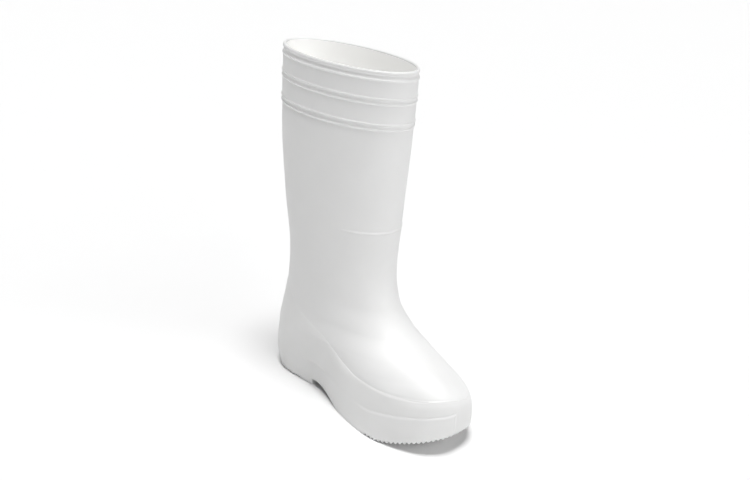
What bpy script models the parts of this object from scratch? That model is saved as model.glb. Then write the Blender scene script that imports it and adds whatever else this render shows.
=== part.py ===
"""Rubber boot for the left foot: a hollow moulded upper, a cupped sole with heel and lugs, and an insole.

The toe points to -Y and the outer side of the foot to +X. The boot stands on z = 0, with the
origin below the middle of its box. Sizes are in millimetres until the meshes are finished.
"""
import math

import bmesh
import bpy
import numpy as np
from mathutils import Matrix, Vector

MILLIMETRE = 0.001

# Driving sizes of the last, over the upper's outer face
FOOT_LENGTH = 275.0
BALL_WIDTH = 107.5
BALL_HEIGHT = 48.0
INSTEP_HEIGHT = 117.0
BOOT_HEIGHT = 378.0
HEEL_SEAT = 21.0
BALL_SEAT = 11.0

# Walls and fits
UPPER_WALL = 2.6
RIM_PROUD = 1.0
RIM_BAND = 4.0
RIM_ROUNDING = 0.65
FIT_GAP = 0.3
RAND_LIP = 1.6
SOLE_WALL = 3.0
SOLE_EDGE = 2.0
INSOLE_THICKNESS = 4.0
INSOLE_GAP = 0.5
INSOLE_EDGE = 1.0

# Left or right curve of the foot, and the flare of the sole's base under the inner ball
WAIST_PLACE = 32.0
WAIST_LENGTH = 45.0
WAIST_INNER = 0.30
WAIST_OUTER = 0.11
WAIST_TOP = 70.0
WAIST_FADE = 40.0
BALL_FLARE = 0.10
FLARE_PLACE = -78.0
FLARE_LENGTH = 42.0
FLARE_TOP = 36.0
TOE_SWING = 4.0
SWING_START = 20.0

# Fullness of the toe box over the big toe: how far it swells up and forward, and where
TOE_FULLNESS = 16.5
FULLNESS_WAY = (0.0, -0.40, 0.92)
FULLNESS_TURN = math.radians(200)
FULLNESS_OUTER = math.radians(30)
FULLNESS_INNER = math.radians(46)
FULLNESS_HEIGHT = 56.0
FULLNESS_RISE = 22.0

# Rim: its slope up to the back, which fades out down the shaft
COLLAR_SLOPE = 0.036
SLOPE_FOOT = 120.0
SLOPE_MIDDLE = 40.0

# Sole underside: heel, arch, ball and toe spring along Y
HEEL_BREAST = 40.0
ARCH_RISE = 7.0
ARCH_RUN = 8.0
ARCH_END = -18.0
ARCH_EDGE = 1.0
ARCH_STEPS = 6
SPRING_START = -90.0
SPRING_REACH = 64.0
TOE_SPRING = 20.0
SPRING_POWER = 1.3
SEAT_SLOPE_END = -25.0

# Lugs: transverse grooves inside a plain border
GROOVE_WIDTH = 4.5
GROOVE_DEPTH = 3.0
GROOVE_PITCH = 13.0
GROOVE_BORDER = 9.0
FOREFOOT_GROOVES = 8
FOREFOOT_FIRST = -34.0
HEEL_GROOVES = 4
HEEL_FIRST = 57.0

# Resolution of the faceted forms
AROUND = 56
VAMP_STEPS = 17
SHAFT_STEPS = 9
WALL_SHARES = (0.0, 0.25, 0.5, 0.75, 0.95, 1.0)
ACROSS = 6
BLEND_LOW = 60.0
BLEND_HIGH = 130.0
FINE_STEPS = 400
SETTLE_STEPS = 24
TURN_STEP = 0.002
RISE_STEP = 0.2
SLOPE_STEP = 1.0
SHARP_ANGLE = math.radians(40)

# Sections of the last: heights in millimetres, back, front and widest place as shares of the foot
# length, outer and inner half widths as shares of the ball width, and the roundness of both ends.
SECTION_COLUMNS = ("height", "back", "front", "outer", "inner", "widest", "toe_power", "heel_power")
SECTIONS = (
    (0.0, 0.424, -0.532, 0.440, 0.508, -0.214, 2.5, 2.8),
    (24.0, 0.446, -0.551, 0.470, 0.530, -0.214, 2.5, 2.8),
    (BALL_HEIGHT, 0.456, -0.540, 0.494, 0.507, -0.207, 2.5, 2.65),
    (60.0, 0.458, -0.466, 0.482, 0.482, -0.120, 2.2, 2.55),
    (73.0, 0.455, -0.387, 0.457, 0.448, -0.029, 2.05, 2.4),
    (93.0, 0.443, -0.251, 0.429, 0.414, 0.078, 2.0, 2.3),
    (INSTEP_HEIGHT, 0.430, -0.153, 0.416, 0.413, 0.139, 2.0, 2.15),
    (157.0, 0.422, -0.105, 0.452, 0.440, 0.159, 2.05, 2.05),
    (215.0, 0.460, -0.113, 0.472, 0.466, 0.174, 2.05, 2.05),
    (297.0, 0.501, -0.131, 0.481, 0.483, 0.185, 2.05, 2.05),
    (BOOT_HEIGHT, 0.511, -0.141, 0.456, 0.468, 0.185, 2.05, 2.05),
)

# Top edge of the rand, from the toe to the heel counter: place along Y and level of the last
RAND_COLUMNS = ("place", "level")
RAND_LINE = (
    (-160.0, 50.4),
    (-142.0, 50.4),
    (-132.0, 50.8),
    (-108.0, 51.7),
    (-83.0, 51.9),
    (-69.0, 52.6),
    (-43.0, 54.2),
    (-19.0, 60.2),
    (2.0, 69.2),
    (20.0, 76.6),
    (52.0, 84.5),
    (72.0, 91.0),
    (98.0, 106.0),
    (126.0, 113.0),
)

# Finish of each piece: colour and roughness
UPPER_RUBBER = ((0.86, 0.86, 0.85, 1.0), 0.45)
SOLE_RUBBER = ((0.85, 0.85, 0.84, 1.0), 0.5)
FOOTBED_FOAM = ((0.80, 0.80, 0.78, 1.0), 0.8)


def monotone_curve(knots, values, at):
    """Cubic through a table's column that never overshoots between its rows."""
    steps = np.diff(knots)
    slopes = np.diff(values) / steps
    tangents = np.concatenate([slopes[:1], np.zeros(len(values) - 2), slopes[-1:]])
    same_way = slopes[:-1] * slopes[1:] > 0
    before, after = slopes[:-1][same_way], slopes[1:][same_way]
    tangents[1:-1][same_way] = 2 * before * after / (before + after)
    at = np.clip(at, knots[0], knots[-1])
    row = np.clip(np.searchsorted(knots, at) - 1, 0, len(steps) - 1)
    share = (at - knots[row]) / steps[row]
    rest = 1 - share
    return (
        rest**2 * (1 + 2 * share) * values[row]
        + share**2 * (1 + 2 * rest) * values[row + 1]
        + share * rest * steps[row] * (rest * tangents[row] - share * tangents[row + 1])
    )


def section_table():
    """Columns of the last's sections in millimetres, by name."""
    table = dict(zip(SECTION_COLUMNS, np.array(SECTIONS).T))
    for name in ("back", "front", "widest"):
        table[name] = table[name] * FOOT_LENGTH
    for name in ("outer", "inner"):
        table[name] = table[name] * BALL_WIDTH
    return table


LAST = section_table()
RAND = dict(zip(RAND_COLUMNS, np.array(RAND_LINE).T))


def signed_power(value, power):
    """Power that keeps the sign of its base."""
    return np.sign(value) * np.abs(value) ** power


def skin(angle, height):
    """Points of the upper's outer face: angle 0 at the heel, a half turn at the toe."""
    row = {name: monotone_curve(LAST["height"], LAST[name], height) for name in SECTION_COLUMNS[1:]}
    along, across = np.cos(angle), np.sin(angle)
    rear = along > 0
    power = 2 / np.where(rear, row["heel_power"], row["toe_power"])
    reach = np.where(rear, row["back"] - row["widest"], row["widest"] - row["front"])
    y = row["widest"] + reach * signed_power(along, power)
    x = np.where(across > 0, row["outer"], row["inner"]) * signed_power(across, power)
    low = np.clip((WAIST_TOP - height) / WAIST_FADE, 0, 1)
    pinch = np.where(across > 0, WAIST_OUTER, WAIST_INNER)
    x = x * (1 - pinch * low * np.exp(-(((y - WAIST_PLACE) / WAIST_LENGTH) ** 2)))
    flare = np.where(across > 0, 0.0, BALL_FLARE) * np.clip(1 - height / FLARE_TOP, 0, 1) ** 2
    x = x * (1 + flare * np.exp(-(((y - FLARE_PLACE) / FLARE_LENGTH) ** 2)))
    forward = np.clip((SWING_START - y) / (SWING_START + FOOT_LENGTH / 2), 0, None)
    slope = COLLAR_SLOPE * np.clip((height - SLOPE_FOOT) / (BOOT_HEIGHT - SLOPE_FOOT), 0, None)
    turn = angle - FULLNESS_TURN
    turn_share = turn / np.where(turn > 0, FULLNESS_INNER, FULLNESS_OUTER)
    rise_share = (height - FULLNESS_HEIGHT) / FULLNESS_RISE
    swell = TOE_FULLNESS * np.exp(-(turn_share**2) - rise_share**2)
    plain = np.stack([x - TOE_SWING * forward**2, y, height + slope * (y - SLOPE_MIDDLE)], -1)
    return plain + np.expand_dims(swell, -1) * np.array(FULLNESS_WAY)


def offset_skin(angle, height, distance):
    """Points at a distance outside the upper's outer face, or inside where it is negative."""
    around = skin(angle + TURN_STEP, height) - skin(angle - TURN_STEP, height)
    upward = skin(angle, height + RISE_STEP) - skin(angle, height - RISE_STEP)
    normal = np.cross(upward, around)
    normal /= np.linalg.norm(normal, axis=-1, keepdims=True)
    return skin(angle, height) + normal * np.expand_dims(distance + 0 * angle, -1)


def even_angles(height, count):
    """Angles of points spread evenly along a section, the same on both sides."""
    fine = np.linspace(0, math.pi, FINE_STEPS)
    points = skin(fine, np.full_like(fine, height))
    travelled = np.concatenate([[0], np.cumsum(np.linalg.norm(np.diff(points, axis=0), axis=1))])
    half = np.interp(np.linspace(0, travelled[-1], count // 2 + 1), travelled, fine)
    return np.concatenate([half, 2 * math.pi - half[-2:0:-1]])


FOOT_ANGLES = even_angles(BALL_HEIGHT, AROUND)
SHAFT_ANGLES = np.arange(AROUND) * 2 * math.pi / AROUND


def angles_at(height):
    """Angles of a ring's points, evenly spread in the foot and in the shaft."""
    share = np.clip((height - BLEND_LOW) / (BLEND_HIGH - BLEND_LOW), 0, 1)
    share = share * share * (3 - 2 * share)
    return FOOT_ANGLES + (SHAFT_ANGLES - FOOT_ANGLES) * share


def toe_rise(y):
    """Height of the toe spring under the forefoot."""
    return TOE_SPRING * (np.clip(SPRING_START - y, 0, None) / SPRING_REACH) ** SPRING_POWER


def seat_height(y):
    """Floor inside the sole, from the heel seat down to the ball and up with the toe."""
    share = np.clip((y - SEAT_SLOPE_END) / (HEEL_BREAST - SEAT_SLOPE_END), 0, 1)
    heel_share = share * share * (3 - 2 * share)
    return BALL_SEAT + (HEEL_SEAT - BALL_SEAT) * heel_share + toe_rise(y)


def rand_level(y):
    """Top edge of the sole's rand."""
    return monotone_curve(RAND["place"], RAND["level"], y)


def settle_rand():
    """Levels of the rand's top edge round the foot."""
    level = np.full(AROUND, BALL_HEIGHT)
    for _ in range(SETTLE_STEPS):
        level = rand_level(skin(angles_at(level), level)[:, 1])
    return level


def settle_heights(rule, start):
    """Levels round the foot at which the skin is as high as a rule along Y says."""
    level = np.full(AROUND, start)
    for _ in range(SETTLE_STEPS):
        points = skin(angles_at(level), level)
        level = level + rule(points[:, 1]) - points[:, 2]
    return level


def ring_between(low, high, share, distance):
    """Ring at a share of the way between two edges of the form, at a distance from the skin."""
    height = low + (high - low) * share
    return offset_skin(angles_at(height), height, distance)


class Shell:
    """A closed mesh made ring by ring in millimetres."""

    def __init__(self):
        self.mesh = bmesh.new()

    def ring(self, points):
        """New corners, one for each point of a ring."""
        return [self.mesh.verts.new(point) for point in points]

    def band(self, first, second):
        """Quads between two rings, facing out when an outer wall goes up and an inner one goes down.

        Their diagonals always climb the same way, so that walls of one form stay parallel.
        """
        descending = sum(vertex.co.z for vertex in first) > sum(vertex.co.z for vertex in second)
        for index in range(len(first)):
            after = (index + 1) % len(first)
            corners = (first[index], second[index], second[after], first[after])
            self.mesh.faces.new(corners[1:] + corners[:1] if descending else corners)

    def tube(self, rings):
        """Bands through rings of points, one after the other."""
        loops = [self.ring(points) for points in rings]
        for first, second in zip(loops, loops[1:]):
            self.band(first, second)
        return loops

    def ladder(self, ring, height_rule, facing_up):
        """Fills a ring with rungs between its outer and inner points of the same place along Y."""
        count = len(ring)
        rungs = []
        for step in range(1, count // 2):
            outer, inner = ring[step], ring[count - step]
            rung = [outer]
            for share in np.arange(1, ACROSS) / ACROSS:
                x, y, _ = outer.co.lerp(inner.co, share)
                rung.append(self.mesh.verts.new((x, y, height_rule(y))))
            rungs.append(rung + [inner])
        faces = []
        for first, second in zip(rungs, rungs[1:]):
            faces += [
                (first[k], first[k + 1], second[k + 1], second[k]) for k in range(ACROSS)
            ]
        faces += [(ring[0], rungs[0][k + 1], rungs[0][k]) for k in range(ACROSS)]
        faces += [(ring[count // 2], rungs[-1][k], rungs[-1][k + 1]) for k in range(ACROSS)]
        for corners in faces:
            self.mesh.faces.new(corners if facing_up else corners[::-1])


def wall_heights():
    """Heights of the rings where upper and sole lie against each other, from the seat to the rand."""
    seat = settle_heights(seat_height, HEEL_SEAT)
    high = settle_rand()
    return [seat + (high - seat) * share for share in WALL_SHARES]


def upper_rings(distance):
    """Rings of one face of the upper, from its lower edge on the sole to the collar's band."""
    heights = wall_heights()
    rand = heights[-1]
    heights[0] = heights[0] + FIT_GAP
    heights += [rand + (BLEND_HIGH - rand) * step / VAMP_STEPS for step in range(1, VAMP_STEPS + 1)]
    shaft = np.linspace(BLEND_HIGH, BOOT_HEIGHT - RIM_BAND, SHAFT_STEPS + 1)[1:]
    heights += [np.full(AROUND, height) for height in shaft]
    return [offset_skin(angles_at(height), height, distance) for height in heights]


def rim_ring(height, distance):
    """Ring at a distance from the skin that stays at the skin's own height."""
    angle = angles_at(height)
    points = offset_skin(angle, height, distance)
    points[:, 2] = skin(angle, height)[:, 2]
    return points


def make_upper():
    """Hollow moulded upper: foot and shaft in one wall, open at the collar and underneath."""
    shell = Shell()
    outside = upper_rings(0.0)
    inside = upper_rings(-UPPER_WALL)
    top = np.full(AROUND, BOOT_HEIGHT)
    rim = top - RIM_ROUNDING
    bead_foot = top - RIM_BAND + RIM_PROUD
    collar = [
        (bead_foot, RIM_PROUD),
        (rim, RIM_PROUD),
        (top, RIM_PROUD - RIM_ROUNDING),
        (top, RIM_ROUNDING - UPPER_WALL),
        (rim, -UPPER_WALL),
    ]
    level_rings = [rim_ring(height, distance) for height, distance in collar]
    loops = shell.tube(outside + level_rings + inside[::-1])
    shell.band(loops[-1], loops[0])
    return shell.mesh


def make_sole():
    """Cupped sole: rand, wall, heel, arch, toe spring and lugs round a seat for upper and insole."""
    shell = Shell()
    low = settle_heights(toe_rise, 0.0)
    seat_to_rand = wall_heights()
    high = seat_to_rand[-1]
    tread = offset_skin(angles_at(low), low, FIT_GAP + SOLE_WALL - SOLE_EDGE)
    tread[:, 2] = toe_rise(tread[:, 1])
    wall = low + SOLE_EDGE
    rings = [tread]
    for share in WALL_SHARES:
        thickness = SOLE_WALL + (RAND_LIP - SOLE_WALL) * share**2
        rings.append(ring_between(wall, high, share, FIT_GAP + thickness))
    rings[-1] = ring_between(wall, high, 1.0, FIT_GAP + RAND_LIP / 2)
    for height in seat_to_rand[::-1]:
        rings.append(offset_skin(angles_at(height), height, FIT_GAP))
    rings[-1][:, 2] = seat_height(rings[-1][:, 1])
    loops = shell.tube(rings)
    shell.ladder(loops[0], toe_rise, facing_up=False)
    shell.ladder(loops[-1], seat_height, facing_up=True)
    return shell.mesh


def make_insole():
    """Flat-laid footbed that follows the seat and stays clear of the upper's inner face."""
    shell = Shell()
    seat = settle_heights(seat_height, HEEL_SEAT)
    inset = -(UPPER_WALL + INSOLE_GAP)
    top_rise = FIT_GAP + INSOLE_THICKNESS
    rings = []
    edges = (
        (FIT_GAP, INSOLE_EDGE),
        (FIT_GAP + INSOLE_EDGE, 0.0),
        (top_rise - INSOLE_EDGE, 0.0),
        (top_rise, INSOLE_EDGE),
    )
    for rise, margin in edges:
        ring = offset_skin(angles_at(seat + rise), seat + rise, inset - margin)
        ring[:, 2] = seat_height(ring[:, 1]) + rise
        rings.append(ring)
    loops = shell.tube(rings)
    shell.ladder(loops[0], lambda y: seat_height(y) + FIT_GAP, facing_up=False)
    shell.ladder(loops[-1], lambda y: seat_height(y) + top_rise, facing_up=True)
    return shell.mesh


def arch_cutter(mesh):
    """Prism across the sole that leaves the heel breast and the rising arch."""
    crown = HEEL_BREAST - ARCH_RUN
    profile = [
        (HEEL_BREAST, -ARCH_RISE),
        (HEEL_BREAST, ARCH_RISE - ARCH_EDGE),
        (HEEL_BREAST - ARCH_EDGE, ARCH_RISE),
    ]
    for share in np.linspace(0, 1, ARCH_STEPS + 1):
        profile.append((crown + (ARCH_END - crown) * share, ARCH_RISE * math.cos(share * math.pi / 2)))
    profile.append((ARCH_END, -ARCH_RISE))
    ends = [[mesh.verts.new((side * BALL_WIDTH, y, z)) for y, z in profile] for side in (-1, 1)]
    count = len(profile)
    for k in range(count):
        after = (k + 1) % count
        mesh.faces.new((ends[0][k], ends[0][after], ends[1][after], ends[1][k]))
    mesh.faces.new(ends[0][::-1])
    mesh.faces.new(ends[1])


def groove_cutters(mesh):
    """Bars across the forefoot and the heel that leave the lugs between them."""
    places = [FOREFOOT_FIRST - GROOVE_PITCH * k for k in range(FOREFOOT_GROOVES)]
    places += [HEEL_FIRST + GROOVE_PITCH * k for k in range(HEEL_GROOVES)]
    fine = np.linspace(0, math.pi, FINE_STEPS)
    for y in places:
        rise = float(toe_rise(y))
        slope = float(toe_rise(y - SLOPE_STEP) - toe_rise(y + SLOPE_STEP)) / (2 * SLOPE_STEP)
        ends = []
        for angles in (fine, 2 * math.pi - fine):
            edge = skin(angles, np.full_like(fine, rise))
            ends.append(float(np.interp(-y, -edge[:, 1], edge[:, 0])))
        outer, inner = ends[0] - GROOVE_BORDER, ends[1] + GROOVE_BORDER
        place = Matrix.Translation(Vector(((outer + inner) / 2, y, rise)))
        tilt = Matrix.Rotation(-math.atan(slope), 4, "X")
        size = Matrix.Diagonal((outer - inner, GROOVE_WIDTH, 2 * GROOVE_DEPTH, 1.0))
        bmesh.ops.create_cube(mesh, size=1.0, matrix=place @ tilt @ size)


def make_cutter():
    """All that is cut from under the sole, as one form."""
    mesh = bmesh.new()
    arch_cutter(mesh)
    groove_cutters(mesh)
    bmesh.ops.recalc_face_normals(mesh, faces=mesh.faces)
    return mesh


def footprint_middle(meshes):
    """Middle of the boot's box on the floor."""
    points = np.array([vertex.co for mesh in meshes for vertex in mesh.verts])
    middle = (points.min(axis=0) + points.max(axis=0)) / 2
    return Vector((middle[0], middle[1], 0.0))


def plain_finish(name, colour, roughness):
    """Finish of one moulded piece."""
    material = bpy.data.materials.new(name)
    material.use_nodes = True
    shader = material.node_tree.nodes["Principled BSDF"]
    shader.inputs["Base Color"].default_value = colour
    shader.inputs["Roughness"].default_value = roughness
    shader.inputs["Metallic"].default_value = 0.0
    return material


def place_piece(name, mesh, origin, material):
    """Object of one piece in metres, shaded smooth but for its edges."""
    bmesh.ops.translate(mesh, verts=mesh.verts, vec=-origin)
    bmesh.ops.scale(mesh, verts=mesh.verts, vec=(MILLIMETRE,) * 3)
    data = bpy.data.meshes.new(name)
    mesh.to_mesh(data)
    mesh.free()
    data.shade_smooth()
    data.set_sharp_from_angle(angle=SHARP_ANGLE)
    piece = bpy.data.objects.new(name, data)
    bpy.context.scene.collection.objects.link(piece)
    if material:
        data.materials.append(material)
    return piece


def cut(piece, cutter):
    """Takes a hidden form away from a piece."""
    cutter.hide_render = True
    cutter.display_type = "WIRE"
    modifier = piece.modifiers.new("underside", "BOOLEAN")
    modifier.operation = "DIFFERENCE"
    modifier.solver = "EXACT"
    modifier.object = cutter


def main():
    """Clears the scene and makes the three pieces round one origin."""
    for thing in list(bpy.data.objects):
        bpy.data.objects.remove(thing, do_unlink=True)
    upper, sole, insole = make_upper(), make_sole(), make_insole()
    origin = footprint_middle((upper, sole))
    place_piece("upper", upper, origin, plain_finish("upper_rubber", *UPPER_RUBBER))
    outsole = place_piece("sole", sole, origin, plain_finish("sole_rubber", *SOLE_RUBBER))
    place_piece("insole", insole, origin, plain_finish("footbed_foam", *FOOTBED_FOAM))
    cut(outsole, place_piece("underside_cutter", make_cutter(), origin, None))


main()
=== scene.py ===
"""Looks of the white rubber boot: fine meshes of upper, sole and footbed, their finish, light and camera.

The form is the part's own: toe to -Y, outer side of the left foot to +X, standing on z = 0.
Sizes are in millimetres in the form's frame until the meshes are finished.
"""
import math

import bpy
import numpy as np
from mathutils import Euler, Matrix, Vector


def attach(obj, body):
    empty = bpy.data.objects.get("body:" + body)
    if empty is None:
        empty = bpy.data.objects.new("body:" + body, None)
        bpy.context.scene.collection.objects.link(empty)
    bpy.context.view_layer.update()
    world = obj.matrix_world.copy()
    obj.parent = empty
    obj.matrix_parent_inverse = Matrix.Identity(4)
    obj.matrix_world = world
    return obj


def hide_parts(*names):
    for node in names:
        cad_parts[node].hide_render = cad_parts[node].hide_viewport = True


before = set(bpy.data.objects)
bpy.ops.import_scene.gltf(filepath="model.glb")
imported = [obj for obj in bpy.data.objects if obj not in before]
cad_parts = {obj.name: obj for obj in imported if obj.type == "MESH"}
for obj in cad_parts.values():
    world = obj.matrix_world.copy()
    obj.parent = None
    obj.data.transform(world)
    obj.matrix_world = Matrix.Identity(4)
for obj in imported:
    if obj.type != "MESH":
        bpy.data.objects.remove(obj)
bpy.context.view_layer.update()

MILLIMETRE = 0.001

# Middle of the boot's box in the form's frame, which is the origin of the part
FORM_MIDDLE = (-4.654, -7.000, 0.0)

# Driving sizes of the last, over the upper's outer face
FOOT_LENGTH = 275.0
BALL_WIDTH = 107.5
BALL_HEIGHT = 48.0
INSTEP_HEIGHT = 117.0
BOOT_HEIGHT = 378.0
HEEL_SEAT = 21.0
BALL_SEAT = 11.0

# Walls and fits
UPPER_WALL = 2.6
FIT_GAP = 0.3
SOLE_WALL = 3.0
INSOLE_THICKNESS = 4.0
INSOLE_GAP = 0.5

# Waist and toe curve of the left foot, and the flare of the sole's base under the inner ball
WAIST_PLACE = 32.0
WAIST_LENGTH = 45.0
WAIST_INNER = 0.30
WAIST_OUTER = 0.11
WAIST_TOP = 70.0
WAIST_FADE = 40.0
BALL_FLARE = 0.10
FLARE_PLACE = -78.0
FLARE_LENGTH = 42.0
FLARE_TOP = 36.0
TOE_SWING = 4.0
SWING_START = 20.0

# Fullness of the toe box over the big toe: how far it swells up and forward, and where
TOE_FULLNESS = 16.5
FULLNESS_WAY = (0.0, -0.40, 0.92)
FULLNESS_TURN = math.radians(200)
FULLNESS_OUTER = math.radians(30)
FULLNESS_INNER = math.radians(46)
FULLNESS_HEIGHT = 56.0
FULLNESS_RISE = 22.0

# Rim: its slope up to the back, which fades out down the shaft
COLLAR_SLOPE = 0.036
SLOPE_FOOT = 120.0
SLOPE_MIDDLE = 40.0

# Sole underside: heel, arch, ball and toe spring along Y
HEEL_BREAST = 40.0
BREAST_SLANT = 0.6
ARCH_RISE = 7.0
ARCH_RUN = 8.0
ARCH_END = -18.0
SPRING_START = -90.0
SPRING_REACH = 64.0
TOE_SPRING = 20.0
SPRING_POWER = 1.3
SEAT_SLOPE_END = -25.0

# Lugs: transverse grooves inside a plain border
GROOVE_WIDTH = 4.5
GROOVE_DEPTH = 3.0
GROOVE_PITCH = 13.0
GROOVE_BORDER = 11.5
GROOVE_SLANT = 0.6
FOREFOOT_GROOVES = 8
FOREFOOT_FIRST = -34.0
HEEL_GROOVES = 4
HEEL_FIRST = 57.0

# Teeth along the tread's edge at toe and heel
TOOTH_PITCH = 5.0
TOOTH_DEPTH = 2.6
TOOTH_REACH = 9.0
TOE_TEETH = (-62.0, -80.0)
HEEL_TEETH = (52.0, 60.0)

# Sections of the last: heights in millimetres, back, front and widest place as shares of the foot
# length, outer and inner half widths as shares of the ball width, and the roundness of both ends.
SECTION_COLUMNS = ("height", "back", "front", "outer", "inner", "widest", "toe_power", "heel_power")
SECTIONS = (
    (0.0, 0.424, -0.532, 0.440, 0.508, -0.214, 2.5, 2.8),
    (24.0, 0.446, -0.551, 0.470, 0.530, -0.214, 2.5, 2.8),
    (BALL_HEIGHT, 0.456, -0.540, 0.494, 0.507, -0.207, 2.5, 2.65),
    (60.0, 0.458, -0.466, 0.482, 0.482, -0.120, 2.2, 2.55),
    (73.0, 0.455, -0.387, 0.457, 0.448, -0.029, 2.05, 2.4),
    (93.0, 0.443, -0.251, 0.429, 0.414, 0.078, 2.0, 2.3),
    (INSTEP_HEIGHT, 0.430, -0.153, 0.416, 0.413, 0.139, 2.0, 2.15),
    (157.0, 0.422, -0.105, 0.452, 0.440, 0.159, 2.05, 2.05),
    (215.0, 0.460, -0.113, 0.472, 0.466, 0.174, 2.05, 2.05),
    (297.0, 0.501, -0.131, 0.481, 0.483, 0.185, 2.05, 2.05),
    (BOOT_HEIGHT, 0.511, -0.141, 0.456, 0.468, 0.185, 2.05, 2.05),
)

# Top edge of the rand, from the toe to the heel counter: place along Y, level, and how far proud it stands
RAND_COLUMNS = ("place", "level", "proud")
RAND_LINE = (
    (-160.0, 50.4, 0.2),
    (-142.0, 50.4, 0.25),
    (-132.0, 50.8, 0.4),
    (-108.0, 51.7, 0.8),
    (-83.0, 51.9, 0.95),
    (-69.0, 52.6, 0.85),
    (-43.0, 54.2, 0.65),
    (-19.0, 60.2, 0.5),
    (2.0, 69.2, 0.4),
    (20.0, 76.6, 0.35),
    (52.0, 84.5, 0.35),
    (72.0, 91.0, 0.35),
    (98.0, 106.0, 0.5),
    (126.0, 113.0, 0.7),
)
RAND_EDGE = 3.6
RAND_SINK = 0.25

# Roll of the toe's top edge: how far the corner of vamp and wall is drawn in, its level and half height,
# and where along Y it fades in
ROLL_DEPTH = 1.8
ROLL_LEVEL = 50.5
ROLL_HEIGHT = 4.3
ROLL_FADE = (-92.0, -132.0)

# Bumper panel low on the inner side of the toe wall: its top edge from the waist to its end at the toe
BUMPER_COLUMNS = ("place", "height")
BUMPER_LINE = (
    (-156.0, 46.2),
    (-150.0, 45.8),
    (-141.0, 44.0),
    (-112.0, 37.4),
    (-90.0, 32.3),
    (-72.0, 29.0),
    (-47.0, 28.5),
)
BUMPER_PROUD = 0.6
BUMPER_BEVEL = 1.1
BUMPER_GROOVE = 0.25
BUMPER_GROOVE_WIDTH = 2.0
BUMPER_FADE = (-45.0, -85.0)
BUMPER_END = -15.0
BUMPER_RIB = 0.45
RIB_WIDTH = 1.3

# Collar: beads round the shaft under the rim, and the start and rise of the bands between them
BEAD_COLUMNS = ("height", "width", "proud")
BEADS = (
    (368.8, 3.4, 0.95),
    (350.0, 3.1, 0.92),
    (344.6, 3.1, 0.90),
    (323.6, 3.1, 0.92),
    (318.2, 3.1, 0.90),
)
BANDS = ((319.0, 0.45), (345.5, 0.25))
BAND_BEVEL = 3.0
RIM_PROUD = 1.0
RIM_FOOT = 374.2
RIM_BEVEL = 0.9
RIM_RISE = 1.5
RIM_STEPS = 9
RIM_LIP = 1.8
LIP_PROUD = 0.2
LIP_BEVEL = 0.6

# Shin panel: a thin raised field over the front, with a beaded top edge that fades out downwards and to
# its ends, which are given in millimetres round the shaft from the middle of the front
PANEL_TOP = 205.0
PANEL_PROUD = 0.5
PANEL_BEAD = 0.45
PANEL_BEVEL = 1.2
PANEL_FADE = (182.0, 203.0)
PANEL_ENDS = (70.0, 46.0)
PANEL_RADIUS = 65.0

# Soft troughs and ridges of the standing boot: place round the boot in degrees from the heel over the
# outer side, height, half length in degrees, climb in millimetres over that length, width and depth.
CREASE_COLUMNS = ("turn", "height", "reach", "climb", "width", "depth")
CREASES = (
    (180.0, 133.0, 55.0, -9.0, 8.0, 0.32),
    (178.0, 149.0, 48.0, -7.0, 9.0, -0.22),
    (235.0, 112.0, 34.0, 10.0, 10.0, 0.18),
    (126.0, 114.0, 34.0, -10.0, 10.0, 0.22),
    (2.0, 141.0, 60.0, 5.0, 9.0, 0.40),
    (0.0, 160.0, 52.0, 4.0, 10.0, -0.25),
)

# Points round the fine meshes, the levels between which the upper's points move over from an even spread
# in the foot to one in the shaft, and the steps of searches and slopes
UPPER_AROUND = 300
SOLE_AROUND = 840
INSOLE_AROUND = 240
BLEND_LOW = 60.0
BLEND_HIGH = 130.0
FINE_STEPS = 2000
SETTLE_STEPS = 24
TURN_STEP = 0.002
RISE_STEP = 0.2
SHARP_ANGLE = math.radians(38)

# Rings of the upper: shares of the height that the sole hides, counts of rings over the vamp and inside,
# and stretches of the shaft, each with its lower level, upper level and steps
HIDDEN_SHARES = (0.0, 0.3, 0.6, 0.85)
VAMP_RINGS = 68
LIP_RINGS = 14
LINING_RINGS = 22
FOOT_RINGS = 30
SHAFT_STRETCHES = (
    (BLEND_HIGH, 165.0, 16),
    (165.0, 198.0, 26),
    (198.0, 209.0, 20),
    (209.0, 314.5, 36),
    (314.5, 327.0, 26),
    (327.0, 341.0, 5),
    (341.0, 353.5, 26),
    (353.5, 365.5, 5),
    (365.5, BOOT_HEIGHT - RIM_RISE, 24),
)

# Rings of the sole: inset and rise of each ring of the rounded bottom edge, counts of rings up the wall
# and over the rand's edge, how fast the teeth run out up the wall, and shares of the cup's depth
BOTTOM_ROUND = ((0.7, 0.0), (0.35, 0.12), (0.1, 0.4), (0.0, 0.8))
WALL_RINGS = 38
WALL_BREAK = 0.9
WALL_TOP_RINGS = 7
RAND_RINGS = 10
TOOTH_FALL = 12
CUP_SHARES = (0.06, 0.4, 0.75, 1.0)

# Rows across the sole and the footbed: distances from the tread's edge, counts between, the batch in which
# the nearest points of the edge are searched, and the rows among which a groove's edge finds its own
TREAD_EDGE_ROWS = (0.8, 1.8, 3.2, 5.0, 7.0, 9.0, 10.6, 11.2, 11.8, 12.6)
TREAD_ROWS = 22
SEAT_ROWS = 5
FOOTBED_ROWS = 22
FOOTBED_RINGS = 9
FOOTBED_ROUND = 1.0
SEARCH_BATCH = 2000
NEAR_ROWS = 6

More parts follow.
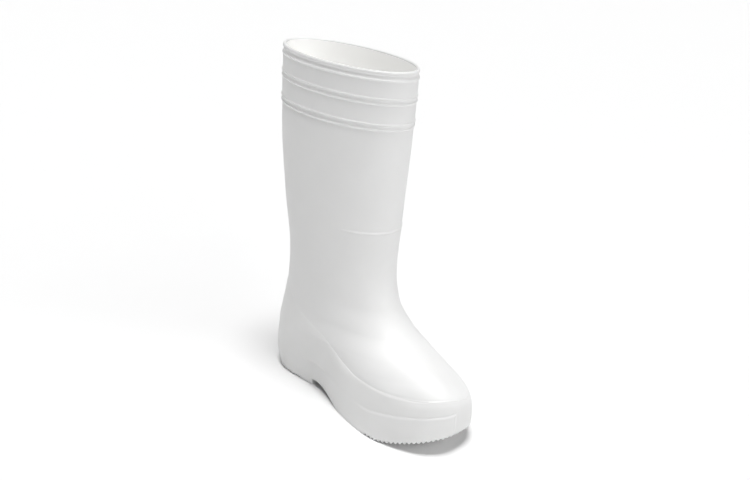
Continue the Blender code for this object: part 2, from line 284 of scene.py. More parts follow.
# Finishes: two close tones of each, roughness and grain of the rubbers, loop size and depth of the fabrics.
# Sizes and depths are in millimetres.
UPPER_TONES = ((0.815, 0.815, 0.812), (0.80, 0.80, 0.797))
SOLE_TONES = ((0.795, 0.795, 0.791), (0.78, 0.78, 0.775))
LINING_TONES = ((0.95, 0.948, 0.935), (0.935, 0.932, 0.918))
FOOTBED_TONES = ((0.76, 0.75, 0.72), (0.72, 0.71, 0.68))
UPPER_ROUGHNESS = 0.52
SOLE_ROUGHNESS = 0.46
UPPER_GRAIN = 0.55
SOLE_GRAIN = 0.7
GRAIN_DEPTH = 0.012
RUBBER_MOTTLE = 38.0
RUBBER_PATCH = 24.0
RUBBER_WAVE = (30.0, 0.25)
ROUGHNESS_SPREAD = (-0.05, 0.06)
RUBBER_SPECULAR = 0.45
RUBBER_COAT = 0.08
COAT_ROUGHNESS = 0.45
LINING_KNIT = (0.9, 0.12)
FOOTBED_KNIT = (1.2, 0.2)
FABRIC_MOTTLE = 16.0
FABRIC_PATCH = 9.0
FABRIC_WAVE = (20.0, 0.2)
FABRIC_ROUGHNESS = (0.78, 0.92)
FABRIC_SHEEN = 0.15
SHEEN_ROUGHNESS = 0.5
NOISE_MIDDLE = (0.3, 0.7)

# Painted light: a glow on the lining that brightens the inside, standing in for light the thin white wall
# would let through, from no glow to the full one up the shaft
LINING_PAINTED_GLOW = 0.27
PAINTED_GLOW_LEVELS = (245.0, 345.0)


def monotone_curve(knots, values, at):
    """Cubic through a table's column that never overshoots between its rows."""
    steps = np.diff(knots)
    slopes = np.diff(values) / steps
    tangents = np.concatenate([slopes[:1], np.zeros(len(values) - 2), slopes[-1:]])
    same_way = slopes[:-1] * slopes[1:] > 0
    before, after = slopes[:-1][same_way], slopes[1:][same_way]
    tangents[1:-1][same_way] = 2 * before * after / (before + after)
    at = np.clip(at, knots[0], knots[-1])
    row = np.clip(np.searchsorted(knots, at) - 1, 0, len(steps) - 1)
    share = (at - knots[row]) / steps[row]
    rest = 1 - share
    return (
        rest**2 * (1 + 2 * share) * values[row]
        + share**2 * (1 + 2 * rest) * values[row + 1]
        + share * rest * steps[row] * (rest * tangents[row] - share * tangents[row + 1])
    )


def columns(names, rows):
    """Columns of a table, by name."""
    return dict(zip(names, np.array(rows).T))


def section_table():
    """Columns of the last's sections in millimetres, by name."""
    table = columns(SECTION_COLUMNS, SECTIONS)
    for name in ("back", "front", "widest"):
        table[name] = table[name] * FOOT_LENGTH
    for name in ("outer", "inner"):
        table[name] = table[name] * BALL_WIDTH
    return table


LAST = section_table()
RAND = columns(RAND_COLUMNS, RAND_LINE)
BUMPER = columns(BUMPER_COLUMNS, BUMPER_LINE)


def smooth(share):
    """Soft step from 0 to 1."""
    share = np.clip(share, 0, 1)
    return share * share * (3 - 2 * share)


def fade(value, zero, one):
    """Soft step that is 0 at one place and 1 at another."""
    return smooth((value - zero) / (one - zero))


def bump_profile(distance, width):
    """Rounded ridge of a given width, 1 at its crest."""
    return 0.5 + 0.5 * np.cos(math.pi * np.clip(2 * distance / width, -1, 1))


def signed_power(value, power):
    """Power that keeps the sign of its base."""
    return np.sign(value) * np.abs(value) ** power


def skin(angle, height):
    """Points of the upper's outer face: angle 0 at the heel, a half turn at the toe."""
    row = {name: monotone_curve(LAST["height"], LAST[name], height) for name in SECTION_COLUMNS[1:]}
    along, across = np.cos(angle), np.sin(angle)
    rear = along > 0
    power = 2 / np.where(rear, row["heel_power"], row["toe_power"])
    reach = np.where(rear, row["back"] - row["widest"], row["widest"] - row["front"])
    y = row["widest"] + reach * signed_power(along, power)
    x = np.where(across > 0, row["outer"], row["inner"]) * signed_power(across, power)
    low = np.clip((WAIST_TOP - height) / WAIST_FADE, 0, 1)
    pinch = np.where(across > 0, WAIST_OUTER, WAIST_INNER)
    x = x * (1 - pinch * low * np.exp(-(((y - WAIST_PLACE) / WAIST_LENGTH) ** 2)))
    flare = np.where(across > 0, 0.0, BALL_FLARE) * np.clip(1 - height / FLARE_TOP, 0, 1) ** 2
    x = x * (1 + flare * np.exp(-(((y - FLARE_PLACE) / FLARE_LENGTH) ** 2)))
    forward = np.clip((SWING_START - y) / (SWING_START + FOOT_LENGTH / 2), 0, None)
    slope = COLLAR_SLOPE * np.clip((height - SLOPE_FOOT) / (BOOT_HEIGHT - SLOPE_FOOT), 0, None)
    turn = angle - FULLNESS_TURN
    turn_share = turn / np.where(turn > 0, FULLNESS_INNER, FULLNESS_OUTER)
    rise_share = (height - FULLNESS_HEIGHT) / FULLNESS_RISE
    swell = TOE_FULLNESS * np.exp(-(turn_share**2) - rise_share**2)
    plain = np.stack([x - TOE_SWING * forward**2, y, height + slope * (y - SLOPE_MIDDLE)], -1)
    return plain + np.expand_dims(swell, -1) * np.array(FULLNESS_WAY)


def offset_skin(angle, height, distance):
    """Points at a distance outside the upper's outer face, or inside where it is negative."""
    around = skin(angle + TURN_STEP, height) - skin(angle - TURN_STEP, height)
    upward = skin(angle, height + RISE_STEP) - skin(angle, height - RISE_STEP)
    normal = np.cross(upward, around)
    normal /= np.linalg.norm(normal, axis=-1, keepdims=True)
    return skin(angle, height) + normal * np.expand_dims(distance + 0 * angle, -1)


def toe_roll(angle, height):
    """How far the toe's top edge is drawn in, which rounds the corner of vamp and wall."""
    share = (height - ROLL_LEVEL) / ROLL_HEIGHT
    return ROLL_DEPTH * np.exp(-(share**2)) * fade(skin(angle, height)[..., 1], *ROLL_FADE)


def travelled(points):
    """Distance along a line of points, from its first one."""
    return np.concatenate([[0], np.cumsum(np.linalg.norm(np.diff(points, axis=0), axis=1))])


def both_sides(half):
    """Angles of a whole ring from those of its outer half."""
    return np.concatenate([half, 2 * math.pi - half[-2:0:-1]])


def even_angles(height, count):
    """Angles of points spread evenly along a section, the same on both sides."""
    fine = np.linspace(0, math.pi, FINE_STEPS)
    way = travelled(skin(fine, np.full_like(fine, height)))
    return both_sides(np.interp(np.linspace(0, way[-1], count // 2 + 1), way, fine))


def toe_rise(y):
    """Height of the toe spring under the forefoot."""
    return TOE_SPRING * (np.clip(SPRING_START - y, 0, None) / SPRING_REACH) ** SPRING_POWER


def arch_rise(y):
    """Height of the arch between heel breast and ball."""
    crown = HEEL_BREAST - ARCH_RUN
    share = np.clip((crown - y) / (crown - ARCH_END), 0, 1)
    return ARCH_RISE * np.cos(share * math.pi / 2) * smooth((HEEL_BREAST - y) / BREAST_SLANT)


def tread_height(y):
    """Underside of the sole without its grooves and teeth."""
    return toe_rise(y) + arch_rise(y)


def seat_height(y):
    """Floor inside the sole, from the heel seat down to the ball and up with the toe."""
    heel_share = smooth((y - SEAT_SLOPE_END) / (HEEL_BREAST - SEAT_SLOPE_END))
    return BALL_SEAT + (HEEL_SEAT - BALL_SEAT) * heel_share + toe_rise(y)


def rand_level(y):
    """Top edge of the sole's rand."""
    return monotone_curve(RAND["place"], RAND["level"], y)


def settle_rand(angles_at):
    """Levels of the rand's top edge round the foot."""
    level = np.full(len(angles_at(BALL_HEIGHT)), BALL_HEIGHT)
    for _ in range(SETTLE_STEPS):
        level = rand_level(skin(angles_at(level), level)[:, 1])
    return level


def settle_heights(rule, start, angles_at):
    """Levels round the foot at which the skin is as high as a rule along Y says."""
    level = np.full(len(angles_at(start)), start)
    for _ in range(SETTLE_STEPS):
        points = skin(angles_at(level), level)
        level = level + rule(points[:, 1]) - points[:, 2]
    return level


class Builder:
    """A mesh gathered from rings and ladders of points in millimetres."""

    def __init__(self):
        self.points = []
        self.faces = []
        self.finishes = []
        self.count = 0

    def add(self, points):
        """Indices of new points, in the shape of their array."""
        points = np.asarray(points, float)
        indices = np.arange(points[..., 0].size).reshape(points.shape[:-1]) + self.count
        self.points.append(points.reshape(-1, 3))
        self.count += indices.size
        return indices

    def quads(self, corners, finish=0):
        """Faces from four arrays of corners."""
        faces = np.stack([corner.ravel() for corner in corners], -1)
        self.faces += faces.tolist()
        self.finishes += [finish] * len(faces)

    def bands(self, rings, finish=0):
        """Closed bands between rings, facing out when an outer wall goes up and an inner one goes down."""
        after = np.roll(rings, -1, axis=1)
        self.quads((rings[:-1], rings[1:], after[1:], after[:-1]), finish)

    def ladder(self, ring, rungs, facing_up, finish=0):
        """Fills a ring with rungs of points between its outer and inner side."""
        half = len(ring) // 2
        inside = self.add(rungs)
        grid = np.concatenate([ring[1:half, None], inside, ring[:half:-1, None]], axis=1)
        corners = (grid[:-1, :-1], grid[:-1, 1:], grid[1:, 1:], grid[1:, :-1])
        self.quads(corners if facing_up else corners[::-1], finish)
        fans = [(ring[0], grid[0, k + 1], grid[0, k]) for k in range(grid.shape[1] - 1)]
        fans += [(ring[half], grid[-1, k], grid[-1, k + 1]) for k in range(grid.shape[1] - 1)]
        for fan in fans:
            self.faces.append([int(corner) for corner in (fan if facing_up else fan[::-1])])
            self.finishes.append(finish)

    def piece(self, name, materials, sharp_angle=None):
        """Object of the gathered mesh in metres, in the part's frame."""
        points = (np.concatenate(self.points) - np.array(FORM_MIDDLE)) * MILLIMETRE
        data = bpy.data.meshes.new(name)
        data.from_pydata(points.tolist(), [], self.faces)
        data.polygons.foreach_set("material_index", np.array(self.finishes, np.int32))
        for material in materials:
            data.materials.append(material)
        data.shade_smooth()
        if sharp_angle:
            data.set_sharp_from_angle(angle=sharp_angle)
        data.update()
        thing = bpy.data.objects.new(name, data)
        bpy.context.scene.collection.objects.link(thing)
        return thing


def rung_shares(count, width, edge_distances):
    """Shares across a row: fixed distances from both edges and an even middle."""
    edge_distances = np.array(edge_distances)
    span = np.maximum(width, 3 * edge_distances[-1])
    edge = edge_distances[None, :] / span[:, None]
    middle = np.linspace(0, 1, count + 2)[1:-1]
    inner = edge[:, -1:] + (1 - 2 * edge[:, -1:]) * middle[None, :]
    return np.concatenate([edge, inner, 1 - edge[:, ::-1]], axis=1)


def rows_across(ring_points, count, edge_distances=()):
    """Points of rows between the outer and inner side of a ring, with their shares."""
    half = len(ring_points) // 2
    outer, inner = ring_points[1:half], ring_points[:half:-1]
    width = np.linalg.norm(outer - inner, axis=1)
    if len(edge_distances):
        shares = rung_shares(count, width, edge_distances)
    else:
        shares = np.tile(np.linspace(0, 1, count + 2)[1:-1], (half - 1, 1))
    return outer[:, None, :] + (inner - outer)[:, None, :] * shares[..., None]


# Upper

FOOT_ANGLES = even_angles(BALL_HEIGHT, UPPER_AROUND)
SHAFT_ANGLES = even_angles(BOOT_HEIGHT, UPPER_AROUND)


def upper_angles(height):
    """Angles of the upper's points, evenly spread in the foot and in the shaft."""
    share = fade(height, BLEND_LOW, BLEND_HIGH)
    return FOOT_ANGLES + (SHAFT_ANGLES - FOOT_ANGLES) * share


def collar_relief(height):
    """Beads under the rim and bands that step out towards it."""
    proud = RIM_PROUD * fade(height, RIM_FOOT - RIM_BEVEL, RIM_FOOT + RIM_BEVEL)
    for row in BEADS:
        bead = dict(zip(BEAD_COLUMNS, row))
        proud = proud + bead["proud"] * bump_profile(height - bead["height"], bead["width"])
    for start, rise in BANDS:
        proud = proud + rise * fade(height, start - BAND_BEVEL, start)
    band_total = sum(rise for _, rise in BANDS)
    return proud - band_total * fade(height, RIM_FOOT - 2 * BAND_BEVEL, RIM_FOOT - RIM_BEVEL)


def panel_relief(angle, height):
    """Raised field over the shin with its beaded top edge."""
    across = np.abs(angle - math.pi) * PANEL_RADIUS
    above = height - PANEL_TOP
    strength = fade(height, *PANEL_FADE) * fade(across, *PANEL_ENDS)
    field = smooth(0.5 - above / (2 * PANEL_BEVEL))
    edge = bump_profile(above + PANEL_BEVEL, 3 * PANEL_BEVEL)
    return strength * (PANEL_PROUD * field + PANEL_BEAD * edge)


def crease_relief(angle, height):
    """Soft troughs and ridges at the places listed."""
    relief = np.zeros(np.broadcast(angle, height).shape)
    for row in CREASES:
        crease = dict(zip(CREASE_COLUMNS, row))
        turn = np.degrees(angle) - crease["turn"]
        turn = (turn + 180.0) % 360.0 - 180.0
        share = turn / crease["reach"]
        middle = crease["height"] + crease["climb"] * share**2
        along = bump_profile(share, 2.0)
        across = np.exp(-(((height - middle) / crease["width"]) ** 2))
        relief -= crease["depth"] * along * across
    return relief


def upper_levels():
    """Heights of the upper's rings, from its lower edge on the sole to the rim's foot."""
    seat = settle_heights(seat_height, HEEL_SEAT, upper_angles) + FIT_GAP
    rand = settle_rand(upper_angles)
    hidden = [seat + (rand - seat) * share for share in HIDDEN_SHARES]
    vamp = [rand + (BLEND_HIGH - rand) * share for share in np.linspace(0, 1, VAMP_RINGS)]
    shaft = []
    for low, high, steps in SHAFT_STRETCHES:
        shaft += [np.full(UPPER_AROUND, level) for level in np.linspace(low, high, steps + 1)[1:]]
    return hidden + vamp + shaft


def inner_levels():
    """Heights of the inner face's rings, from the rim down to the lower edge."""
    seat = settle_heights(seat_height, HEEL_SEAT, upper_angles) + FIT_GAP
    lip = np.linspace(BOOT_HEIGHT - RIM_RISE, BOOT_HEIGHT - 2 * RIM_LIP, LIP_RINGS)
    shaft = np.linspace(BOOT_HEIGHT - 2 * RIM_LIP, BLEND_HIGH, LINING_RINGS)[1:]
    foot = [BLEND_HIGH + (seat - BLEND_HIGH) * share for share in np.linspace(0, 1, FOOT_RINGS)[1:]]
    return [np.full(UPPER_AROUND, level) for level in np.concatenate([lip, shaft])] + foot


def make_upper(rubber, lining):
    """Hollow moulded upper: beaded collar, shin panel and soft creases outside, lining inside."""
    levels = np.array(upper_levels())
    angles = np.array([upper_angles(level) for level in levels])
    relief = collar_relief(levels) + panel_relief(angles, levels) + crease_relief(angles, levels)
    outside = offset_skin(angles, levels, relief - toe_roll(angles, levels))

    middle = (RIM_PROUD - UPPER_WALL) / 2
    half = (RIM_PROUD + UPPER_WALL) / 2
    top = np.full(UPPER_AROUND, BOOT_HEIGHT)
    rim = []
    for turn in np.linspace(0, math.pi, RIM_STEPS + 2)[1:-1]:
        ring = offset_skin(SHAFT_ANGLES, top, middle + half * math.cos(turn))
        ring[:, 2] = skin(SHAFT_ANGLES, top)[:, 2] - RIM_RISE * (1 - math.sin(turn))
        rim.append(ring)

    inner = np.array(inner_levels())
    inner_angles = np.array([upper_angles(level) for level in inner])
    lip_foot = BOOT_HEIGHT - RIM_LIP
    lip = LIP_PROUD * fade(inner, lip_foot - LIP_BEVEL, lip_foot + LIP_BEVEL)
    roll = toe_roll(inner_angles, inner)
    inside = offset_skin(inner_angles, inner, lip - UPPER_WALL - LIP_PROUD - roll)

    shell = Builder()
    outer_rings = shell.add(np.concatenate([outside, np.array(rim)]))
    inner_rings = shell.add(inside)
    shell.bands(outer_rings)
    shell.bands(np.stack([outer_rings[-1], inner_rings[0]]))
    lip_row = int(np.argmax(inner[:, 0] < lip_foot))
    shell.bands(inner_rings[: lip_row + 1])
    shell.bands(inner_rings[lip_row:], finish=1)
    shell.bands(np.stack([inner_rings[-1], outer_rings[0]]))
    return shell.piece("moulded_upper", (rubber, lining))


# Sole


def groove_places():
    """Middle of each transverse groove along Y."""
    places = [FOREFOOT_FIRST - GROOVE_PITCH * k for k in range(FOREFOOT_GROOVES)]
    return places + [HEEL_FIRST + GROOVE_PITCH * k for k in range(HEEL_GROOVES)]


def sole_angles():
    """Angles round the tread, evenly spread, with rows on the edges of breast and grooves."""
    fine = np.linspace(0, math.pi, FINE_STEPS)
    edge = offset_skin(fine, toe_rise(skin(fine, 0 * fine)[:, 1]), FIT_GAP + SOLE_WALL)
    way = travelled(edge)
    half = np.interp(np.linspace(0, way[-1], SOLE_AROUND // 2 + 1), way, fine)
    wanted = [HEEL_BREAST, HEEL_BREAST - BREAST_SLANT]
    for middle in groove_places():
        for side in (-1, 1):
            wanted.append(middle + side * (GROOVE_WIDTH + GROOVE_SLANT) / 2)
            wanted.append(middle + side * (GROOVE_WIDTH - GROOVE_SLANT) / 2)
    rows = np.interp(half, fine, edge[:, 1])
    taken = set()
    for place in sorted(wanted):
        order = [k for k in np.argsort(np.abs(rows - place))[:NEAR_ROWS] if k not in taken]
        half[order[0]] = np.interp(-place, -edge[:, 1], fine)
        taken.add(order[0])
    return both_sides(np.sort(half))


SOLE_ANGLES = sole_angles()


def tread_angles(_height):
    """Angles of the sole's points, the same at all heights."""
    return SOLE_ANGLES


def tooth_notch(way, y):
    """Depth of the notches along the tread's edge, by the way from the toe."""
    wave = 0.5 + 0.5 * np.cos(2 * math.pi * way / TOOTH_PITCH)
    return TOOTH_DEPTH * wave * np.maximum(fade(y, *TOE_TEETH), fade(y, *HEEL_TEETH))


def ring_way(points):
    """Distance of each point of a ring from the toe, along its own side."""
    half = len(points) // 2
    outer = travelled(points[half::-1, :2])[::-1]
    inner = travelled(np.concatenate([points[half:, :2], points[:1, :2]]))
    return np.concatenate([outer, inner[1:-1]])


def bumper_relief(points, angle):
    """Proud panel low on the toe wall, from its end rib back along the inner side."""
    x, y, z = points[..., 0], points[..., 1], points[..., 2]
    edge = monotone_curve(BUMPER["place"], BUMPER["height"], y)
    below = edge - z
    inner_side = fade(y, *BUMPER_FADE) * smooth(0.5 + (BUMPER_END - x) / RIB_WIDTH) * (y < 0)
    step = BUMPER_PROUD * smooth(below / BUMPER_BEVEL)
    groove = BUMPER_GROOVE * bump_profile(below + BUMPER_BEVEL / 2, BUMPER_GROOVE_WIDTH)
    front = (np.cos(angle) < 0) * (y < -FOOT_LENGTH / 3)
    rib = BUMPER_RIB * bump_profile(x - BUMPER_END, RIB_WIDTH * 2) * smooth(below / BUMPER_BEVEL) * front
    return inner_side * (step - groove) + rib


def sole_wall():
    """Rings of the outer wall from the bottom edge to the rand, the edge's way and the rand's level."""
    spring = settle_heights(toe_rise, 0.0, tread_angles)
    low_points = offset_skin(SOLE_ANGLES, spring, FIT_GAP + SOLE_WALL)
    low = tread_height(low_points[:, 1])
    way = ring_way(low_points)
    notch = tooth_notch(way, low_points[:, 1])
    high = settle_rand(tread_angles)
    proud = monotone_curve(RAND["place"], RAND["proud"], skin(SOLE_ANGLES, high)[:, 1])
    rings = []
    for inset, rise in BOTTOM_ROUND:
        ring = offset_skin(SOLE_ANGLES, low + rise, FIT_GAP + SOLE_WALL - inset)
        ring[:, 2] = low + rise + notch
        rings.append(ring)
    foot = low + BOTTOM_ROUND[-1][1]
    lower_shares = np.linspace(0, WALL_BREAK, WALL_RINGS)[1:]
    upper_shares = np.linspace(WALL_BREAK, 1.0, WALL_TOP_RINGS)[1:]
    for share in np.concatenate([lower_shares, upper_shares]):
        height = foot + (high - RAND_EDGE - foot) * share
        thickness = FIT_GAP + SOLE_WALL + (proud - FIT_GAP - SOLE_WALL) * share**2
        thickness = thickness - toe_roll(SOLE_ANGLES, height)
        plain = offset_skin(SOLE_ANGLES, height, thickness)
        relief = bumper_relief(plain, SOLE_ANGLES)
        ring = offset_skin(SOLE_ANGLES, height, thickness + relief)
        ring[:, 2] += notch * np.clip(1 - share * TOOTH_FALL, 0, 1)
        rings.append(ring)
    for share in np.linspace(0, 1, RAND_RINGS)[1:]:
        height = high - RAND_EDGE * (1 - share)
        thickness = proud - (proud + RAND_SINK) * smooth(share)
        rings.append(offset_skin(SOLE_ANGLES, height, thickness - toe_roll(SOLE_ANGLES, height)))
    return np.array(rings), way, high


def tread_rows(ring, way):
    """Rows of the underside with grooves between the lugs and teeth along the edge."""
    rows = rows_across(ring, TREAD_ROWS, TREAD_EDGE_ROWS)
    flat = rows.reshape(-1, 3)
    nearest = np.zeros(len(flat), int)
    distance = np.zeros(len(flat))
    for start in range(0, len(flat), SEARCH_BATCH):
        batch = slice(start, start + SEARCH_BATCH)
        part = flat[batch, None, :2] - ring[None, :, :2]
        gap = np.hypot(part[..., 0], part[..., 1])
        nearest[batch] = gap.argmin(1)
        distance[batch] = gap.min(1)
    x, y = flat[:, 0], flat[:, 1]
    notch = tooth_notch(way[nearest], ring[nearest, 1]) * (1 - smooth(distance / TOOTH_REACH))
    inside = smooth(0.5 + (distance - GROOVE_BORDER) / GROOVE_SLANT)
    groove = np.zeros(len(flat))
    for middle in groove_places():
        depth = np.clip(0.5 + (GROOVE_WIDTH / 2 - np.abs(y - middle)) / GROOVE_SLANT, 0, 1)
        groove = np.maximum(groove, GROOVE_DEPTH * depth * inside)
    return np.stack([x, y, tread_height(y) + np.maximum(notch, groove)], -1).reshape(rows.shape)


def make_sole(rubber):
    """Cupped sole: rand, bumper, toothed edge, heel, arch and lugs round the seat of upper and footbed."""
    wall, way, high = sole_wall()
    seat = settle_heights(seat_height, HEEL_SEAT, tread_angles)
    cup = []
    for share in CUP_SHARES:
        height = high + (seat - high) * share
        cup.append(offset_skin(SOLE_ANGLES, height, FIT_GAP - toe_roll(SOLE_ANGLES, height)))
    cup[-1][:, 2] = seat_height(cup[-1][:, 1])
    shell = Builder()
    rings = shell.add(np.concatenate([wall, np.array(cup)]))
    shell.bands(rings)
    shell.ladder(rings[0], tread_rows(wall[0], way), facing_up=False)
    floor = rows_across(cup[-1], SEAT_ROWS)
    floor[..., 2] = seat_height(floor[..., 1])
    shell.ladder(rings[-1], floor, facing_up=True)
    return shell.piece("moulded_sole", (rubber,), SHARP_ANGLE)


# Footbed


def make_footbed(fabric):
    """Loose footbed on the seat, with a rounded edge."""
    angles = even_angles(BALL_HEIGHT, INSOLE_AROUND)
    seat = settle_heights(seat_height, HEEL_SEAT, lambda height: angles)
    inset = -(UPPER_WALL + INSOLE_GAP + LIP_PROUD)
    top = FIT_GAP + INSOLE_THICKNESS
    rings = []
    for turn in np.linspace(-math.pi / 2, math.pi / 2, FOOTBED_RINGS):
        rise = (FIT_GAP + top) / 2 + (INSOLE_THICKNESS / 2) * math.sin(turn)
        ring = offset_skin(angles, seat + rise, inset - FOOTBED_ROUND * (1 - math.cos(turn)))
        ring[:, 2] = seat_height(ring[:, 1]) + rise
        rings.append(ring)
    shell = Builder()
    loops = shell.add(np.array(rings))
    shell.bands(loops)
    faces = ((rings[0], loops[0], FIT_GAP, False), (rings[-1], loops[-1], top, True))
    for ring, loop, rise, facing_up in faces:
        rows = rows_across(ring, FOOTBED_ROWS)
        rows[..., 2] = seat_height(rows[..., 1]) + rise
        shell.ladder(loop, rows, facing_up)
    return shell.piece("footbed", (fabric,))


# Finishes


class Finish:
    """A procedural material with its Principled shader and helpers to wire it."""

    def __init__(self, name):
        self.material = bpy.data.materials.new(name)
        self.material.use_nodes = True
        self.nodes = self.material.node_tree.nodes
        self.links = self.material.node_tree.links
        self.shader = self.nodes["Principled BSDF"]
        self.place = self.nodes.new("ShaderNodeTexCoord").outputs["Object"]

    def noise(self, size_mm, detail):
        """Noise whose features are about a size, as a value from 0 to 1."""
        node = self.nodes.new("ShaderNodeTexNoise")
        node.inputs["Scale"].default_value = 1 / (size_mm * MILLIMETRE)
        node.inputs["Detail"].default_value = detail
        self.links.new(self.place, node.inputs["Vector"])
        return node.outputs["Fac"]

    def cells(self, size_mm):
        """Rounded cells of a size."""
        node = self.nodes.new("ShaderNodeTexVoronoi")
        node.inputs["Scale"].default_value = 1 / (size_mm * MILLIMETRE)
        self.links.new(self.place, node.inputs["Vector"])
        return node.outputs["Distance"]

    def between(self, value, low, high):
        """Value stretched from its usual middle range to another range."""
        node = self.nodes.new("ShaderNodeMapRange")
        node.inputs["From Min"].default_value = NOISE_MIDDLE[0]
        node.inputs["From Max"].default_value = NOISE_MIDDLE[1]
        node.inputs["To Min"].default_value = low
        node.inputs["To Max"].default_value = high
        self.links.new(value, node.inputs["Value"])
        return node.outputs["Result"]

    def colours(self, value, first, second):
        """Colour between two tones by a value."""
        node = self.nodes.new("ShaderNodeMix")
        node.data_type = "RGBA"
        node.inputs["A"].default_value = (*first, 1.0)
        node.inputs["B"].default_value = (*second, 1.0)
        self.links.new(value, node.inputs["Factor"])
        self.links.new(node.outputs["Result"], self.shader.inputs["Base Color"])

    def bumps(self, layers):
        """Bump layers, each a height value with its depth in millimetres."""
        normal = None
        for value, depth_mm in layers:
            node = self.nodes.new("ShaderNodeBump")
            node.inputs["Strength"].default_value = 1.0
            node.inputs["Distance"].default_value = depth_mm * MILLIMETRE
            self.links.new(value, node.inputs["Height"])
            if normal:
                self.links.new(normal, node.inputs["Normal"])
            normal = node.outputs["Normal"]
        self.links.new(normal, self.shader.inputs["Normal"])

    def glow(self, colour, strength, foot_mm, top_mm):
        """Painted light: a glow of its own that grows from nothing at one level to its full strength at a
        higher one.
        """
        split = self.nodes.new("ShaderNodeSeparateXYZ")
        self.links.new(self.place, split.inputs["Vector"])
        node = self.nodes.new("ShaderNodeMapRange")
        node.inputs["From Min"].default_value = foot_mm * MILLIMETRE
        node.inputs["From Max"].default_value = top_mm * MILLIMETRE
        node.inputs["To Min"].default_value = 0.0
        node.inputs["To Max"].default_value = strength
        self.links.new(split.outputs["Z"], node.inputs["Value"])
        self.links.new(node.outputs["Result"], self.shader.inputs["Emission Strength"])
        self.shader.inputs["Emission Color"].default_value = (*colour, 1.0)


def rubber_finish(name, tones, roughness, grain_mm):
    """White moulded rubber: satin, with a fine grain, a faint waviness and hardly any mottling."""
    finish = Finish(name)
    mottle = finish.between(finish.noise(RUBBER_MOTTLE, detail=4.0), 0.0, 1.0)
    finish.colours(mottle, *tones)
    lowest, highest = (roughness + change for change in ROUGHNESS_SPREAD)
    patches = finish.between(finish.noise(RUBBER_PATCH, detail=3.0), lowest, highest)
    finish.links.new(patches, finish.shader.inputs["Roughness"])
    wave_mm, wave_depth = RUBBER_WAVE
    wave = finish.noise(wave_mm, detail=1.0)
    grain = finish.noise(grain_mm, detail=2.0)
    finish.bumps(((wave, wave_depth), (grain, GRAIN_DEPTH)))
    finish.shader.inputs["Specular IOR Level"].default_value = RUBBER_SPECULAR
    finish.shader.inputs["Coat Weight"].default_value = RUBBER_COAT
    finish.shader.inputs["Coat Roughness"].default_value = COAT_ROUGHNESS
    return finish.material


def fabric_finish(name, tones, knit_mm, knit_depth_mm):
    """Off-white knit or foam face: dull, with small loops and a soft sheen."""
    finish = Finish(name)
    finish.colours(finish.between(finish.noise(FABRIC_MOTTLE, detail=4.0), 0.0, 1.0), *tones)
    patches = finish.between(finish.noise(FABRIC_PATCH, detail=2.0), *FABRIC_ROUGHNESS)
    finish.links.new(patches, finish.shader.inputs["Roughness"])
    wave_mm, wave_depth = FABRIC_WAVE
    wave = finish.noise(wave_mm, detail=2.0)
    finish.bumps(((wave, wave_depth), (finish.cells(knit_mm), knit_depth_mm)))
    finish.shader.inputs["Sheen Weight"].default_value = FABRIC_SHEEN
    finish.shader.inputs["Sheen Roughness"].default_value = SHEEN_ROUGHNESS
    return finish


def lining_finish():
    """White knit inside the upper, with a painted glow near the collar that stands in for light the thin
    white wall would let through.
    """
    finish = fabric_finish("lining_knit", LINING_TONES, *LINING_KNIT)
    # Painted light: the lining glows more towards the collar, which brightens the inside of the shaft
    finish.glow(LINING_TONES[0], LINING_PAINTED_GLOW, *PAINTED_GLOW_LEVELS)
    return finish.material


# Stage: floor, surround with its backdrop up to an angle over the horizon, lights by their direction,
# strength and spread, and the camera

FLOOR_HALF = 15.0
FLOOR_WHITE = (0.875, 0.875, 0.875, 1.0)
FLOOR_ROUGHNESS = 0.9
FLOOR_SPECULAR = 0.1
SURROUND = 0.03
BACKDROP = 1.0
BACKDROP_TOP = math.radians(5)
BACKDROP_END = math.radians(8)
OVERHEAD = ((-0.08, -0.03, 1.0), 3.02, math.radians(26))
FRONT = ((0.06, -0.862, 0.507), 1.0, math.radians(54))
CAMERA_PLACE = (-0.6470, -0.6348, 0.5316)
CAMERA_YAW = math.radians(45.73)
CAMERA_PITCH = math.radians(20.76)
CAMERA_ROLL = math.radians(4.28)
CAMERA_LENS = 43.0
SENSOR = 36.0


def make_floor():
    """Plain pale floor under the boot."""
    half = FLOOR_HALF
    corners = [(-half, -half, 0), (half, -half, 0), (half, half, 0), (-half, half, 0)]
    data = bpy.data.meshes.new("floor")
    data.from_pydata(corners, [], [(0, 1, 2, 3)])
    finish = Finish("floor_paper")
    finish.shader.inputs["Base Color"].default_value = FLOOR_WHITE
    finish.shader.inputs["Roughness"].default_value = FLOOR_ROUGHNESS
    finish.shader.inputs["Specular IOR Level"].default_value = FLOOR_SPECULAR
    data.materials.append(finish.material)
    floor = bpy.data.objects.new("floor", data)
    bpy.context.scene.collection.objects.link(floor)


def make_lamp(name, place, strength, spread):
    """Broad distant light that shines from a direction."""
    light = bpy.data.lights.new(name, "SUN")
    light.energy = strength
    light.angle = spread
    lamp = bpy.data.objects.new(name, light)
    lamp.location = place
    lamp.rotation_euler = Vector(place).to_track_quat("Z", "Y").to_euler()
    bpy.context.scene.collection.objects.link(lamp)


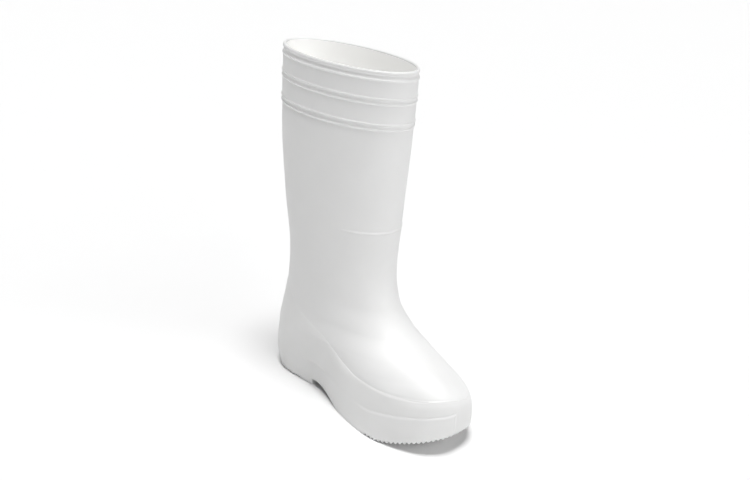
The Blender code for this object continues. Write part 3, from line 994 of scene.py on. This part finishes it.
def make_surround():
    """Plain surround: a pale backdrop round the horizon that fades into a dim room above."""
    world = bpy.data.worlds.new("studio")
    world.use_nodes = True
    nodes, links = world.node_tree.nodes, world.node_tree.links
    direction = nodes.new("ShaderNodeTexCoord")
    split = nodes.new("ShaderNodeSeparateXYZ")
    links.new(direction.outputs["Generated"], split.inputs["Vector"])
    glow = nodes.new("ShaderNodeMapRange")
    glow.inputs["From Min"].default_value = math.sin(BACKDROP_TOP)
    glow.inputs["From Max"].default_value = math.sin(BACKDROP_END)
    glow.inputs["To Min"].default_value = BACKDROP
    glow.inputs["To Max"].default_value = SURROUND
    links.new(split.outputs["Z"], glow.inputs["Value"])
    background = nodes["Background"]
    background.inputs["Color"].default_value = (1.0, 1.0, 1.0, 1.0)
    links.new(glow.outputs["Result"], background.inputs["Strength"])
    bpy.context.scene.world = world


def make_light():
    """Soft studio light: one broad light from above, one from in front of the toe, and the surround."""
    make_surround()
    make_lamp("overhead", *OVERHEAD)
    make_lamp("front", *FRONT)


def make_camera():
    """Camera at the photograph's angle to the boot, turned to frame it."""
    camera = bpy.data.cameras.new("camera")
    camera.lens = CAMERA_LENS
    camera.sensor_width = SENSOR
    eye = bpy.data.objects.new("camera", camera)
    eye.location = CAMERA_PLACE
    level = Euler((math.pi / 2 - CAMERA_PITCH, 0.0, -CAMERA_YAW))
    eye.rotation_euler = (level.to_matrix() @ Euler((0.0, 0.0, CAMERA_ROLL)).to_matrix()).to_euler()
    bpy.context.scene.collection.objects.link(eye)
    bpy.context.scene.camera = eye


def main():
    """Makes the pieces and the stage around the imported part."""
    upper_rubber = rubber_finish("white_rubber", UPPER_TONES, UPPER_ROUGHNESS, UPPER_GRAIN)
    sole_rubber = rubber_finish("white_sole_rubber", SOLE_TONES, SOLE_ROUGHNESS, SOLE_GRAIN)
    footbed_face = fabric_finish("footbed_face", FOOTBED_TONES, *FOOTBED_KNIT).material
    pieces = (
        (make_upper(upper_rubber, lining_finish()), "upper", "upper_rubber"),
        (make_sole(sole_rubber), "sole", "sole_rubber"),
        (make_footbed(footbed_face), "insole", "footbed"),
    )
    for piece, node, slot in pieces:
        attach(piece, "root")
        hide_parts(node)
    make_floor()
    make_light()
    make_camera()
    bpy.context.scene.view_settings.view_transform = "Standard"


main()
